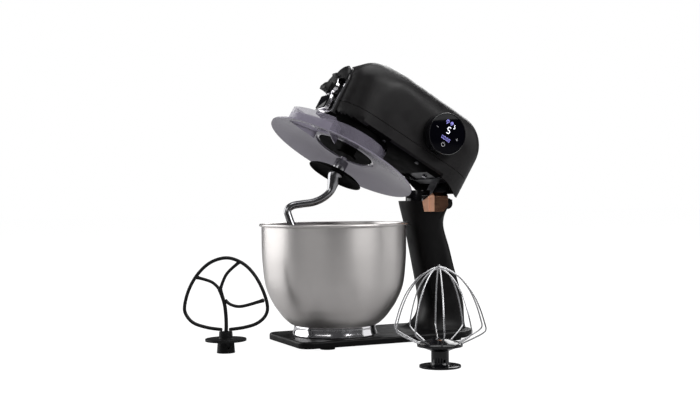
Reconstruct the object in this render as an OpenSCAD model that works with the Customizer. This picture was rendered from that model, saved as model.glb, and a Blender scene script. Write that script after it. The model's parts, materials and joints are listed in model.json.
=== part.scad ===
// Stand mixer with a tilting head, a planetary drive, a steel bowl and three tools.
// Millimetres. The origin is the centre of the bowl's seat on the base, +Z is up, the nose points
// to -Y and the display is on the +X side. The modules measure heights from the table, and on_seat
// moves them to the origin. The head is drawn level, then raised about the hinge pin.

/* [Stand] */
// Width of the base plate
base_w = 148; // [144:1:152]
// From the bowl's axis to the front edge of the base
base_front = 83.4; // [82:0.2:88]
// From the bowl's axis to the back of the heel
base_rear = 219; // [216:1:222]
// Angle that the head is raised by
head_raise = 30.2; // [28:0.1:30.2]

/* [Head] */
// Wall of the two housing shells
shell_t = 3; // [2.6:0.1:3.2]
// Height of the seam between the two shells, with the head level
seam_z = 252; // [250:0.5:253]
// Radius of the control dial
dial_r = 32; // [31:0.5:33]

/* [Bowl] */
// Outer radius of the bowl's rolled rim
rim_r = 112.5; // [112:0.1:113]
// Thickness of the bowl's steel
bowl_t = 1.2; // [1:0.1:1.4]

/* [Tools] */
// Number of wire loops in the whisk
whisk_loops = 5; // [3:1:6]
// Diameter of the whisk's wire
wire_d = 2.4; // [2:0.1:2.6]

/* [Hidden] */
$fn = 64;

// Stand
plate_z = 4;            // underside of the base plate, on its feet
plate_top = 14;
front_r = 18;           // plan radius of the base's front corners
heel_r = 52;            // and of its rear corners
plate_t = 3;
cover_gap = 0.3;        // between the cover and the base's skirt
cover_t = 2.4;
boss_r = 5;
screw_r = 1.8;
pivot = [0, 179.5, 208.8];
knuckle_r = 8.5;
knuckle_w = 33;         // half-width of the hinge knuckle
lug_w = 12;             // half-width of the head's lug between the two knuckles
pin_r = 5;
run = 0.05;             // radial running clearance of a shaft in its bore
seat_r = 69;
seat_t = 2;
seat_step = 0.2;        // depth of the seat's track round its middle pad
hook_in_r = 49;         // bayonet hooks of the bowl's seat
hook_out_r = 56.5;
post_r = 20;            // the column under the head
post_y = 145.5;
gland_z = 9;
gland_r = 4.2;          // radius of the cord gland where it passes through the base

// Head, with the head level
half_w = 62;
head_bottom = 229;
head_front = -4;        // centre of the front rounding
head_back = 138;        // and of the rear rounding
floor_z = head_bottom + shell_t;
nose_y = -57;           // front plane of the nose
nose_r = 29;
nose_z = 285;           // centre of the nose's arch
nose_low = 231;
dial_y = 104;
dial_z = 286;

// Gear train
mod = 1.5;
main_n = 56;
pinion_n = 14;
ring_n = 44;
planet_n = 14;
ring_r = 40;            // outside of the fixed ring gear
bevel_n = 18;
bevel_mod = 2;
backlash = 0.6;
tool_e = mod * (ring_n - planet_n) / 2;     // from the bowl's axis to the tool's axis
tool_turn = -10;        // direction of the tool's axis from +X
counter_y = mod * (main_n + pinion_n) / 2;
motor_y = 138;
pulley_r = 42;
motor_pulley_r = 12;
belt_t = 2;
hub_z = 274;            // height of the front drive's axis
bevel_r = bevel_mod * bevel_n / 2;
shaft_r = 6;
counter_r = 4;
tool_r = 5;

// Bowl
rim_z = 181.7;
foot_z = 14;
foot_top = 27;
foot_in = 60;
foot_out = 64.5;

// Loose tools that stand on the table
beater_at = [16, -178];
beater_turn = 65.2;
whisk_at = [277, 25];

black = "#202022";
gloss = "#0c0c0e";
steel = "#b8b8ba";
chrome = "#dcdce0";
copper = "#b87a5a";

// Shapes that repeat

function arc(c, r, a0, a1, n = 12) =
    [for (i = [0 : n]) [c.x + r * cos(a0 + (a1 - a0) * i / n), c.y + r * sin(a0 + (a1 - a0) * i / n)]];

// Raises whatever is drawn with the head level
module raised() {
    translate(pivot) rotate([-head_raise, 0, 0]) translate(-pivot) children();
}

// Moves a piece measured from the table to the origin on the bowl's seat
module on_seat() {
    translate([0, 0, -plate_top]) children();
}

module at_tool() {
    rotate([0, 0, tool_turn]) translate([tool_e, 0, 0]) children();
}

module tube(ro, ri, z0, z1) {
    translate([0, 0, z0]) difference() {
        cylinder(r = ro, h = z1 - z0);
        translate([0, 0, -1]) cylinder(r = ri, h = z1 - z0 + 2);
    }
}

module rod(r, z0, z1) {
    translate([0, 0, z0]) cylinder(r = r, h = z1 - z0);
}

module along_x(x0, x1, r) {
    translate([x0, 0, 0]) rotate([0, 90, 0]) cylinder(r = r, h = x1 - x0);
}

module forward(y0, y1, r) {
    translate([0, y1, 0]) rotate([90, 0, 0]) cylinder(r = r, h = y1 - y0);
}

module mirrored() {
    children();
    mirror([1, 0, 0]) children();
}

// Half-width of a straight-sided gear tooth at radius rho, as an angle
function tooth_angle(rho, pitch_r, thick) =
    (thick / 2 - (rho - pitch_r) * tan(20)) / rho * 180 / PI;

// Outline of an external gear, or of the hole in an internal one; a tooth is centred on angle 0
module gear_outline(n, m, out, in, thick) {
    pr = n * m / 2;
    ro = pr + out;
    ri = pr - in;
    polygon([for (i = [0 : n - 1]) for (p = [[ri, -1], [ro, -1], [ro, 1], [ri, 1]])
        let (a = 360 * i / n + p[1] * tooth_angle(p[0], pr, thick))
        [p[0] * cos(a), p[0] * sin(a)]]);
}

module gear(n, m, z0, z1, turn = 0) {
    translate([0, 0, z0]) rotate([0, 0, turn]) linear_extrude(z1 - z0)
        gear_outline(n, m, 0.78 * m, 1.15 * m, PI * m / 2 - backlash / 2);
}

// A bevel gear whose pitch cone's tip is its pitch radius above its wide end
module bevel(turn) {
    depth = 7;
    rotate([0, 0, turn]) linear_extrude(depth, scale = 1 - depth / bevel_r)
        gear_outline(bevel_n, bevel_mod, 0.7 * bevel_mod, 1.1 * bevel_mod,
            PI * bevel_mod / 2 - 0.9);
}

// A point of a smooth curve through the points p, at parameter t
function curve(p, t) =
    let (i = min(floor(t), len(p) - 2), f = t - i,
         a = p[max(i - 1, 0)], b = p[i], c = p[i + 1], d = p[min(i + 2, len(p) - 1)])
    0.5 * (2 * b + (c - a) * f + (2 * a - 5 * b + 4 * c - d) * f * f + (3 * b - a - 3 * c + d) * f * f * f);

function unit(v) = v / norm(v);

function smooth(p, steps) = [for (i = [0 : steps]) curve(p, i * (len(p) - 1) / steps)];

// A tube along a curve that lies in the plane across the direction side; radii r[i] at path[i]
module sweep(path, r, side, sides = 10) {
    n = len(path);
    function ahead(i) = unit(path[min(i + 1, n - 1)] - path[max(i - 1, 0)]);
    points = [for (i = [0 : n - 1]) let (u = unit(cross(ahead(i), side)))
        for (k = [0 : sides - 1]) let (a = 360 * k / sides) path[i] + r[i] * (cos(a) * side + sin(a) * u)];
    walls = [for (i = [0 : n - 2]) for (k = [0 : sides - 1])
        let (j = (k + 1) % sides) [i * sides + k, (i + 1) * sides + k, (i + 1) * sides + j, i * sides + j]];
    ends = [[for (k = [0 : sides - 1]) k], [for (k = [sides - 1 : -1 : 0]) (n - 1) * sides + k]];
    polyhedron(points, concat(walls, ends), convexity = 8);
}

// A solid through level rings, each given as [z, front y, rear y, half-width]
module level_loft(rings, inset = 0, sides = 36, power = 2.6) {
    function bulge(v) = sign(v) * pow(abs(v), 2 / power);
    points = [for (q = rings) for (k = [0 : sides - 1])
        let (a = 360 * k / sides, mid = (q[1] + q[2]) / 2, deep = (q[2] - q[1]) / 2 - inset)
        [(q[3] - inset) * bulge(cos(a)), mid + deep * bulge(sin(a)), q[0]]];
    n = len(rings);
    walls = [for (i = [0 : n - 2]) for (k = [0 : sides - 1])
        let (j = (k + 1) % sides) [i * sides + k, (i + 1) * sides + k, (i + 1) * sides + j, i * sides + j]];
    ends = [[for (k = [0 : sides - 1]) k], [for (k = [sides - 1 : -1 : 0]) (n - 1) * sides + k]];
    polyhedron(points, concat(walls, ends), convexity = 4);
}

// Stand

module base_outline(inset) {
    x = base_w / 2;
    polygon(concat(
        arc([x - front_r, front_r - base_front], front_r - inset, -90, 0),
        arc([x - heel_r, base_rear - heel_r], heel_r - inset, 0, 90),
        arc([heel_r - x, base_rear - heel_r], heel_r - inset, 90, 180),
        arc([front_r - x, front_r - base_front], front_r - inset, 180, 270)));
}

neck = [
    [12, 112, 217, 52], [16, 128, 217, 46], [24, 139, 216.5, 41], [36, 147, 216.5, 38],
    [54, 150, 217, 36], [80, 146, 209, 34], [110, 140, 200, 33], [140, 134, 192, 32.5],
    [171, 128, 182, 33], [188, 124, 182.5, 35], [203, 120, 189, 37], [214, 118, 188, 38]];
base_bosses = [for (x = [-58, 58]) for (y = [-58, 40, 150]) [x, y]];
feet_at = [for (x = [-54, 54]) for (y = [-36, 176]) [x, y]];

// The one-piece base and neck, hollow from below, with the two hinge knuckles on top
module stand_body() {
    color(black) difference() {
        union() {
            difference() {
                union() {
                    translate([0, 0, plate_z]) linear_extrude(plate_top - plate_z) base_outline(0);
                    level_loft(neck);
                    translate(pivot) difference() {
                        along_x(-knuckle_w, knuckle_w, knuckle_r);
                        along_x(-lug_w - 0.4, lug_w + 0.4, knuckle_r + 1);
                    }
                }
                translate([0, 0, plate_z - 1]) linear_extrude(plate_top - plate_t - plate_z + 1)
                    base_outline(4);
                level_loft([for (i = [0 : 9]) neck[i] - (i == 0 ? [2, 0, 0, 0] : [0, 0, 0, 0])], 4);
            }
            for (p = base_bosses) translate(p) rod(boss_r, plate_z + cover_t, plate_top - 1);
        }
        for (p = base_bosses) translate(p) rod(screw_r, plate_z, plate_top - 2.5);
        // well that holds the hinge post
        post_room();
        // slot for the head's lug
        translate([-lug_w - 0.4, 156, 186]) cube([2 * lug_w + 0.8, 60, 60]);
        translate(pivot) along_x(-60, 60, pin_r);
        rod(seat_r, plate_top - seat_t, plate_top + 1);
        // window for the button's guide and the latch bar
        translate([lug_w, button_y - 17, 201]) cube([24, 34, 21]);
        // recess that the button sinks into
        across(34.8, 60) button_outline(-0.7);
        translate([0, base_rear - 8, gland_z]) rotate([-90, 0, 0]) cylinder(r = gland_r, h = 20);
    }
}

module post_room() {
    translate([0, 0, 176]) linear_extrude(80) {
        intersection() {
            translate([0, post_y]) circle(r = post_r);
            translate([-post_r, 120]) square([2 * post_r, post_y - 120]);
        }
        translate([-post_r, post_y]) square([2 * post_r, 10]);
    }
}

module base_cover() {
    color(black) difference() {
        translate([0, 0, plate_z]) linear_extrude(cover_t) base_outline(4 + cover_gap);
        for (p = base_bosses) translate(p) rod(screw_r, 0, 20);
        for (p = feet_at) translate(p) rod(4, 0, 20);
    }
}

module base_screws() {
    color(steel) for (p = base_bosses) translate(p) {
        rod(3.4, plate_z - 1.6, plate_z);
        rod(screw_r, plate_z, plate_top - 3);
    }
}

// Suction feet, each plugged into the cover
module rubber_feet() {
    color("#2a2a2a") for (p = feet_at) translate(p) {
        difference() {
            rod(11, 0, plate_z);
            rod(8, -1, 1.2);
        }
        rod(4, plate_z, plate_z + cover_t + 0.6);
    }
}

// Bayonet seat let into the base: a middle pad, and a track with three overhanging hooks inside the
// bowl's foot
module bowl_seat() {
    color(black) {
        rod(seat_r, plate_top - seat_t, plate_top - seat_step);
        rod(hook_in_r - 2, plate_top - seat_t, plate_top);
        rotate([0, 0, 90]) for (a = [0, 120, 240]) rotate([0, 0, a]) {
            rotate_extrude(angle = 40) translate([hook_in_r, plate_top - 0.5]) square([3, 9]);
            rotate_extrude(angle = 40) translate([hook_in_r, plate_top + 6])
                square([hook_out_r - hook_in_r, 2.5]);
        }
    }
}

// Glossy column inside the top of the neck, which the head closes over
module hinge_post() {
    color(gloss) difference() {
        intersection() {
            post_room();
            rod(300, 0, 230);
        }
        translate([10, button_y - 12, 203]) cube([20, 24, 17]);
    }
}

module hinge_pin() {
    color(steel) translate(pivot) {
        along_x(-knuckle_w, knuckle_w, pin_r);
    }
}

module cord_gland() {
    color(gloss) translate([0, base_rear, gland_z]) rotate([-90, 0, 0]) difference() {
        union() {
            translate([0, 0, -4]) cylinder(r = gland_r, h = 4.1);
            cylinder(r1 = 4.9, r2 = 4.5, h = 3);
        }
        translate([0, 0, -8]) cylinder(r = 3.2, h = 14);
    }
}

// Release button on the +X side of the neck

button_y = 152;
button_z = 211.5;
module button_outline(inset, front = 0) {
    translate([button_y, button_z]) polygon([
        [-18 + front + inset, -14.5 + inset], [13 - inset, -14.5 + inset], [20.5 - inset, -6 + inset / 2],
        [21 - inset, 14.5 - inset], [-3 + front / 3 + inset / 2, 14.5 - inset],
        [-21 + front + inset, 2 + front / 2 - inset / 2]]);
}

module across(x0, x1) {
    translate([x0, 0, 0]) rotate([90, 0, 90]) linear_extrude(x1 - x0) children();
}

module button_guide() {
    color(gloss) difference() {
        translate([31, button_y - 17, 201]) cube([3, 34, 21]);
        translate([30, button_y, button_z]) along_x(0, 20, 4 + run);
    }
}

module release_button() {
    color(copper) hull() {
        across(39.5, 40.5) button_outline(0);
        across(42.8, 43) button_outline(0.8, 3.4);
        across(45.5, 45.6) button_outline(1.6, 11);
    }
}

// The button's stem and the bar that it pushes into the post
module latch_bar() {
    color(steel) translate([0, button_y, button_z]) {
        along_x(16, 39.5, 4);
        translate([16, -9, -5]) cube([3, 18, 10]);
    }
}

// Spring between the bar and the guide, as a round wire wound about the stem
module latch_spring() {
    turns = 4.5;
    steps = 54;
    sides = 6;
    points = [for (i = [0 : steps]) for (k = [0 : sides - 1])
        let (a = 360 * turns * i / steps, b = 360 * k / sides, r = 5.2 + 0.5 * cos(b))
        [19.6 + 10.8 * i / steps + 0.5 * sin(b), r * cos(a), r * sin(a)]];
    walls = [for (i = [0 : steps - 1]) for (k = [0 : sides - 1])
        let (j = (k + 1) % sides) [i * sides + k, i * sides + j, (i + 1) * sides + j, (i + 1) * sides + k]];
    ends = [[for (k = [sides - 1 : -1 : 0]) k], [for (k = [0 : sides - 1]) steps * sides + k]];
    color(steel) translate([0, button_y, button_z]) polyhedron(points, concat(walls, ends), convexity = 6);
}

// Head housing

module head_form(inset) {
    hull() mirrored() {
        translate([25, head_front, 290]) scale([37 - inset, 52 - inset, 50 - inset]) sphere(1, $fn = 32);
        translate([32, head_back, 290]) scale([30 - inset, 50 - inset, 50 - inset]) sphere(1, $fn = 32);
        translate([32, 20, 310]) sphere(30 - inset, $fn = 32);
        translate([27, -12, 297]) scale([34 - inset, 44 - inset, 40 - inset]) sphere(1, $fn = 32);
        translate([25, head_front, 236]) scale([37 - inset, 50 - inset, 7 - inset]) sphere(1, $fn = 32);
        translate([32, head_back, 236]) scale([30 - inset, 49 - inset, 7 - inset]) sphere(1, $fn = 32);
    }
}

module arch(r, low) {
    translate([0, nose_z]) circle(r = r);
    translate([-r, low]) square([2 * r, nose_z - low]);
}

// The arch-topped nose block, from y0 back to y1
module nose(r, low, y0, y1) {
    translate([0, y1, 0]) rotate([90, 0, 0]) linear_extrude(y1 - y0) arch(r, low);
}

module housing_form() {
    head_form(0);
    nose(nose_r, nose_low, nose_y, -20);
}

module housing_room() {
    head_form(shell_t);
    nose(nose_r - shell_t, nose_low + shell_t, nose_y - 1, -20);
}

screw_posts = [for (x = [-53, 53]) for (y = [28, 92]) [x, y]];

module upper_housing() {
    color(black) raised() difference() {
        union() {
            difference() {
                housing_form();
                housing_room();
            }
            for (p = screw_posts) translate(p) {
                rod(4.5, seam_z, seam_z + 26);
                translate([p.x > 0 ? 0 : -7.5, -1.2, seam_z]) cube([7.5, 2.4, 26]);
            }
        }
        translate([-200, -200, 0]) cube([400, 500, seam_z + 0.4]);
        for (p = screw_posts) translate(p) rod(screw_r, 0, seam_z + 20);
        translate([0, dial_y, dial_z]) along_x(40, 80, 20);
    }
}

// Lower shell, open below over the gear housing and over the hinge
module lower_housing() {
    color(black) raised() difference() {
        union() {
            difference() {
                housing_form();
                housing_room();
            }
            for (p = screw_posts) translate(p) rod(4.5, floor_z - 1, seam_z - 0.4);
            for (p = bracket_posts) translate(p) rod(4, floor_z - 0.5, arm_z);
            // skirt that hangs beside and behind the knuckle
            difference() {
                skirt(0);
                skirt(shell_t);
            }
        }
        translate([-200, -200, seam_z - 0.4]) cube([400, 500, 200]);
        for (p = screw_posts) translate(p) {
            rod(screw_r, 0, 400);
            rod(3.5, 0, floor_z - 1);
        }
        rod(55.2, 200, floor_z + 3);
        gearbox_flange(57.3, 44.3, 5);
        for (p = bracket_posts) translate(p) rod(screw_r, floor_z - 0.5, 400);
        translate([-43, 118, 200]) cube([86, 67, 34]);
        translate([-42, 150, 200]) cube([84, 60, 30]);
        translate(pivot) along_x(-43, 43, 18.7);
    }
}

module skirt(inset) {
    over = inset > 0 ? 1 : 0;
    intersection() {
        translate([0, 0, 215]) linear_extrude(24) translate([0, 120]) union() {
            translate([-half_w + inset, 30]) square([2 * (half_w - inset), 0.1]);
            hull() mirrored() {
                translate([32, 18]) scale([30 - inset, 49 - inset]) circle(1, $fn = 48);
                translate([half_w - inset - 1, 0]) square([1, 10]);
            }
        }
        // the edge drops smoothly towards the back
        translate([0, 0, -over]) across(-70, 70)
            polygon([[150, 236 + 2 * over], [150, 229], [166, 223], [178, 221], [200, 221],
                [200, 236 + 2 * over]]);
    }
}

module hinge_bracket() {
    color(steel) raised() difference() {
        union() {
            translate(pivot) along_x(-lug_w, lug_w, 10);
            translate([-lug_w, 158, 209]) cube([2 * lug_w, 19, arm_z + 3 - 209]);
            translate([-46, 146, arm_z]) cube([92, 13, 3]);
            mirrored() translate([43.8, 108, arm_z]) cube([6.2, 41, arm_t]);
        }
        translate(pivot) along_x(-60, 60, 7);
        for (p = bracket_posts) translate(p) rod(screw_r, 200, 260);
    }
}

bracket_posts = [for (x = [-47.5, 47.5]) for (y = [116, 141]) [x, y]];
arm_z = floor_z + 1.4;          // underside of the bracket's two arms
arm_t = 2;
module bracket_screws() {
    color(steel) raised() for (p = bracket_posts) translate(p) {
        rod(3.2, arm_z + arm_t, arm_z + 2 * arm_t);
        rod(screw_r, floor_z, arm_z + arm_t);
    }
}

// Bronze bushes pressed into the bracket's lug
module hinge_bushes() {
    color("#a08040") raised() translate(pivot) mirrored() difference() {
        along_x(0.5, lug_w, 7);
        along_x(-1, lug_w + 1, pin_r + run);
    }
}

module housing_screws() {
    color(steel) raised() for (p = screw_posts) translate(p) {
        rod(3.2, floor_z - 3, floor_z - 1);
        rod(screw_r, floor_z - 1, seam_z + 16);
    }
}

// Gearbox under the front of the head

pillars = [for (a = [40, 140, 225, 315]) [51 * cos(a), 51 * sin(a)]];

module gearbox_flange(r, half, h) {
    intersection() {
        rod(r, floor_z, floor_z + h);
        translate([-half, -half - 4, floor_z]) cube([2 * half, half + 4 + r, h]);
    }
}

module gear_housing() {
    color(black) raised() difference() {
        union() {
            rod(54.5, 202, floor_z);
            gearbox_flange(57, 44, 4);
            translate([-20, 0, floor_z]) cube([40, 66, 4]);
        }
        rod(48, 200, 206);
        rod(ring_r + 0.05, 200, 222);
        rod(13, 224, 240);
        rod(7.5, 200, 240);
        translate([0, counter_y, 0]) rod(counter_r + run, 200, 260);
    }
}

module gearbox_pillars() {
    color(steel) raised() for (p = pillars) translate(p) rod(4, floor_z + 4, 296);
}

module gearbox_cover() {
    color(steel) raised() difference() {
        translate([0, 0, 296]) linear_extrude(4) union() {
            for (p = pillars) translate(p) circle(r = 6);
            translate([-45, -36]) square([90, 69]);
            translate([-15, 0]) square([30, counter_y + 12]);
        }
        rod(11, 290, 310);
        translate([0, counter_y, 0]) rod(counter_r + run, 290, 310);
    }
}

module ring_gear() {
    color(steel) raised() rotate([0, 0, tool_turn + 180 / ring_n]) translate([0, 0, 207])
        linear_extrude(13) difference() {
            circle(r = ring_r);
            rotate([0, 0, 180 / ring_n])
                gear_outline(ring_n, mod, 1.15 * mod, 0.8 * mod, PI * mod / 2 + backlash / 2);
        }
}

// Outer races; the shaft runs in them
module main_bearings() {
    color(steel) raised() {
        tube(13, shaft_r + run, 224, floor_z + 4);
        tube(11, shaft_r + run, 296, 300);
    }
}

module drip_ring() {
    color(chrome) raised() rotate_extrude() polygon([[44, 202], [45, 200.6], [53, 200.9], [54, 202]]);
}

// Motor and belt

module motor_stator() {
    color("#707078") raised() translate([0, motor_y, 0]) difference() {
        rod(36, 250, 290);
        rod(21.8, 240, 300);
        for (a = [0 : 90 : 270]) rotate([0, 0, a]) translate([32, 0, 0]) rod(1.6, 240, 300);
    }
}

module coil(z0, z1) {
    for (a = [35, 215]) rotate([0, 0, a]) rotate_extrude(angle = 110)
        translate([23, z0]) square([8, z1 - z0]);
}

module field_coils() {
    color("#b06030") raised() translate([0, motor_y, 0]) {
        coil(290, 297);
        coil(244, 250);
    }
}

// Bearing bridge under the motor, on four studs that hold the stator
module motor_frame() {
    color(steel) raised() translate([0, motor_y, 0]) difference() {
        union() {
            translate([-50, -30, arm_z + arm_t]) cube([100, 22, 2]);
            translate([-38, -30, arm_z + arm_t]) cube([76, 37.5, 2]);
            for (x = [-33, 33]) translate([x, 0, 0]) rod(3, arm_z + arm_t, 250);
        }
        rod(counter_r + run, 200, 300);
        for (p = bracket_posts) translate([p.x, 116 - motor_y, 0]) rod(3.6, 200, 300);
    }
}

module drive_belt() {
    color("#151515") raised() translate([0, 0, 305]) linear_extrude(10) difference() {
        belt_path(belt_t + 0.3);
        belt_path(0.3);
    }
}

module belt_path(grow) {
    hull() {
        translate([0, counter_y]) circle(r = pulley_r + grow);
        translate([0, motor_y]) circle(r = motor_pulley_r + grow);
    }
}

module rotor() {
    color("#909098") raised() translate([0, motor_y, 0]) {
        rod(counter_r, floor_z + 1, 317);
        rod(18, 251, 289);
        rod(9, 289, 300);
    }
}

module motor_fan() {
    color(black) raised() translate([0, motor_y, 0]) difference() {
        union() {
            rod(29, 238, 239.5);
            for (a = [0 : 36 : 324]) rotate([0, 0, a]) translate([7, -0.6, 238.5]) cube([21.5, 1.2, 4.5]);
            rod(8, 238, 243);
        }
        rod(counter_r, 230, 250);
    }
}

module pulley(r, bore) {
    difference() {
        union() {
            rod(r, 304, 316);
            rod(r + 0.9 + belt_t, 303, 304);
            rod(r + 0.9 + belt_t, 316, 317);
        }
        rod(bore, 300, 320);
    }
}

module motor_pulley() {
    color(steel) raised() translate([0, motor_y, 0]) pulley(motor_pulley_r, counter_r);
}

module belt_pulley() {
    color(black) raised() translate([0, counter_y, 0]) difference() {
        pulley(pulley_r, counter_r);
        for (a = [30 : 60 : 330]) rotate([0, 0, a]) translate([25, 0, 0]) rod(9, 300, 320);
    }
}

module counter_gear() {
    color(steel) raised() translate([0, counter_y, 0]) {
        rod(counter_r, floor_z + 0.5, 318);
        gear(pinion_n, mod, floor_z + 5, floor_z + 17, -90 + 180 / pinion_n);
    }
}

module main_gear() {
    color("#d8d0b8") raised() difference() {
        gear(main_n, mod, floor_z + 6, floor_z + 15);
        rod(shaft_r, 200, 300);
        for (a = [0 : 60 : 300]) rotate([0, 0, a]) translate([26, 0, 0]) rod(8, 200, 300);
    }
}

// Vertical shaft, with the bevel gear that drives the front outlet
module main_shaft() {
    color(steel) raised() {
        rod(shaft_r, 205, 301);
        rod(9, floor_z + 15, hub_z - bevel_r);
        translate([0, 0, hub_z - bevel_r]) bevel(-90 + 180 / bevel_n);
    }
}

module planet_carrier() {
    color(gloss) raised() {
        difference() {
            union() {
                rod(43, 199.4, 205);
                at_tool() rod(12, 189, 200);
                at_tool() rod(16.5, 186.5, 189.5);
            }
            at_tool() rod(tool_r + run, 180, 210);
        }
    }
}

module planet_gear() {
    color("#d8d0b8") raised() at_tool() difference() {
        gear(planet_n, mod, 208, 219);
        rod(tool_r, 200, 230);
    }
}

module tool_shaft() {
    color(chrome) raised() at_tool() difference() {
        rod(tool_r, 162, 220);
        translate([0, 0, 169]) rotate([0, 0, hook_turn]) along_x(-20, 20, 1.5);
    }
}

module drive_pin() {
    color(steel) raised() at_tool() translate([0, 0, 169]) rotate([0, 0, hook_turn]) along_x(-9, 9, 1.5);
}

// Dough hook, fitted

hook_turn = -110 - tool_turn;   // plane of the hook about the tool's axis
hook_line = [
    [0, 156.9], [-0.3, 151], [-3.4, 139], [-4.6, 127], [1, 113], [11, 101], [24, 91.5],
    [35, 82.5], [38, 73], [29, 62.5], [13, 48.5], [-1, 36.5]];

module hook_socket() {
    color(steel) raised() at_tool() difference() {
        rod(10, 157.5, 178);
        rod(tool_r + run, 162, 180);
        translate([0, 0, 169]) rotate([0, 0, hook_turn]) along_x(-20, 20, 1.5);
    }
}

module hook_shield() {
    color(black) raised() at_tool() rotate_extrude() polygon([
        [10, 160], [20, 159.6], [34, 157.2], [41.5, 153.6], [42, 152], [40.8, 152.4],
        [33.5, 155.6], [20, 157.6], [10, 158]]);
}

module dough_hook() {
    steps = 44;
    taper = 14;
    path = [for (p = smooth(hook_line, steps)) [p[0], 0, p[1]]];
    radii = [for (i = [0 : steps])
        i < taper ? 11.5 - 3 * (1 - cos(180 * i / taper)) : i == steps ? 3.6 : 5.5];
    color(chrome) raised() at_tool() rotate([0, 0, hook_turn]) sweep(path, radii, [0, 1, 0], 16);
}

// Front outlet, its flip cap and the badge below it

hood_z = 284.5;         // centre of the domed hood over the cap
hood_r = 29;
hood_out = 9.6;        // how far the hood stands out
module hub_panel() {
    color(gloss) raised() difference() {
        union() {
            nose(nose_r - shell_t - 0.2, nose_low + shell_t + 0.2, nose_y + 2, nose_y + 5);
            intersection() {
                union() {
                    nose(nose_r - 5.4, hood_z + 2, nose_y - 2.6, nose_y + 3);
                    translate([0, nose_y - 2.6, hood_z]) rotate([90, 0, 0]) rotate_extrude()
                        polygon(concat([[0, 0]], [for (a = [0 : 7.5 : 90])
                            [(hood_r - 0.8) * cos(a), (hood_out - 2.6) * sin(a)]]));
                }
                translate([-25, -80, hood_z + 2]) cube([50, 40, 40]);
            }
        }
        translate([0, 0, hub_z]) forward(-80, -40, 10 + run);
        translate([0, 0, hub_z]) forward(-80, nose_y + 2, 15.5 + run);
    }
}

module hub_bezel() {
    color(chrome) raised() difference() {
        nose(nose_r, nose_low, nose_y - 2.4, nose_y);
        nose(nose_r - 5, nose_low + 5, nose_y - 5, nose_y + 1);
        nose(nose_r - 2, nose_low + 2, nose_y - 5, nose_y - 1.6);
    }
}

module hub_collar() {
    color(chrome) raised() translate([0, 0, hub_z]) difference() {
        forward(-67, nose_y + 2, 15.5);
        forward(-80, nose_y + 3, 10 + run);
    }
}

// Horizontal shaft, its bevel gear and the square drive socket at the nose
module front_drive() {
    color(steel) raised() translate([0, 0, hub_z]) difference() {
        union() {
            forward(-66, -46, 10);
            forward(-47, -bevel_r + 0.5, shaft_r);
            translate([0, -bevel_r, 0]) rotate([-90, 0, 0]) bevel(90);
        }
        translate([-4.5, -70, -4.5]) cube([9, 18, 9]);
    }
}

cap_hinge = [0, -70.5, hub_z + 17.5];
module hub_cap() {
    color(gloss) raised() {
        translate([0, 0, hub_z]) forward(-71.5, -67.4, 14.5);
        translate([-6, -71.5, hub_z]) cube([12, 3.5, 17.5]);
        translate(cap_hinge) along_x(-6, 6, 2.2);
        // thumb tab
        across(-9, 9) polygon([[-71, 277], [-76, 275], [-79.5, 267], [-79, 262], [-71, 262]]);
    }
}

module badge_block() {
    color(chrome) raised() difference() {
        translate([-17, -67, 233]) cube([34, 67 + nose_y - 2.4, 24]);
        translate([-15.5, -68, 234.5]) cube([31, 2.4, 21]);
    }
}

module badge_glass() {
    color(gloss) raised() translate([-15.3, -68.4, 234.7]) cube([30.6, 2.8, 20.6]);
}

// Control dial, which turns around a fixed display

module at_dial() {
    raised() translate([0, dial_y, dial_z]) children();
}

module display_housing() {
    color(black) at_dial() difference() {
        union() {
            along_x(56, 62.6, 19.8);
            along_x(62.6, 76.4, dial_r - 3.1);
        }
        along_x(50, 60, 16);
        along_x(73, 80, dial_r - 5);
    }
}

module display_board() {
    color("#1d4a2c") at_dial() along_x(73, 74.6, dial_r - 5.2);
}

module display_glass() {
    color("#050508") at_dial() along_x(76.4, 79.2, dial_r - 1.6);
}

module dial_ring() {
    color(gloss) at_dial() difference() {
        along_x(63, 80, dial_r);
        along_x(60, 76, dial_r - 3);
        along_x(75, 90, dial_r - 1.5);
    }
}

// Clear guard over the bowl, with a pouring chute

chute_from = -82;
chute_to = -38;

module sector(r, a0, a1) {
    steps = 8;
    polygon(concat([[0, 0]], [for (i = [0 : steps]) let (a = a0 + (a1 - a0) * i / steps)
        r / cos((a1 - a0) / steps / 2) * [cos(a), sin(a)]]));
}

module splash_guard() {
    color("#c8c4d8", 0.4) raised() difference() {
        union() {
            rotate_extrude() polygon([
                [49, 198.2], [49, 200], [56, 200], [56, 222], [58, 222], [58, 199.4],
                [113, 188.4], [118.4, 187.4], [118.4, 185.6], [113, 186.4], [57, 197.6]]);
            // chute wall and its two ends
            translate([0, 0, 187.4]) linear_extrude(23) difference() {
                intersection() {
                    circle(r = 109);
                    sector(150, chute_from, chute_to);
                }
                intersection() {
                    circle(r = 107);
                    sector(150, chute_from + 1.2, chute_to - 1.2);
                }
                circle(r = 57);
            }
        }
        // opening under the chute
        translate([0, 0, 180]) linear_extrude(25) difference() {
            intersection() {
                circle(r = 105);
                sector(150, chute_from + 2.5, chute_to - 2.5);
            }
            circle(r = 62);
        }
    }
}

// Bowl

bowl_line = [
    [0, 27], [46, 27], [58, 28], [65.8, 30.5], [72.9, 36], [78.7, 42], [83.7, 48.5], [92.3, 61],
    [100.8, 79], [105.4, 97], [108.3, 127], [109, 150], [109, 179]];

module bowl_shell() {
    n = len(bowl_line);
    inner = [for (i = [n - 1 : -1 : 0]) let (
        d = unit(bowl_line[min(i + 1, n - 1)] - bowl_line[max(i - 1, 0)]))
        i == 0 ? [0, 27 + bowl_t] : bowl_line[i] + bowl_t * [-d[1], d[0]]];
    color(steel) rotate_extrude() {
        polygon(concat(bowl_line, inner));
        translate([rim_r - 2.1, rim_z - 2.1]) circle(r = 2.1);
    }
}

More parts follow.
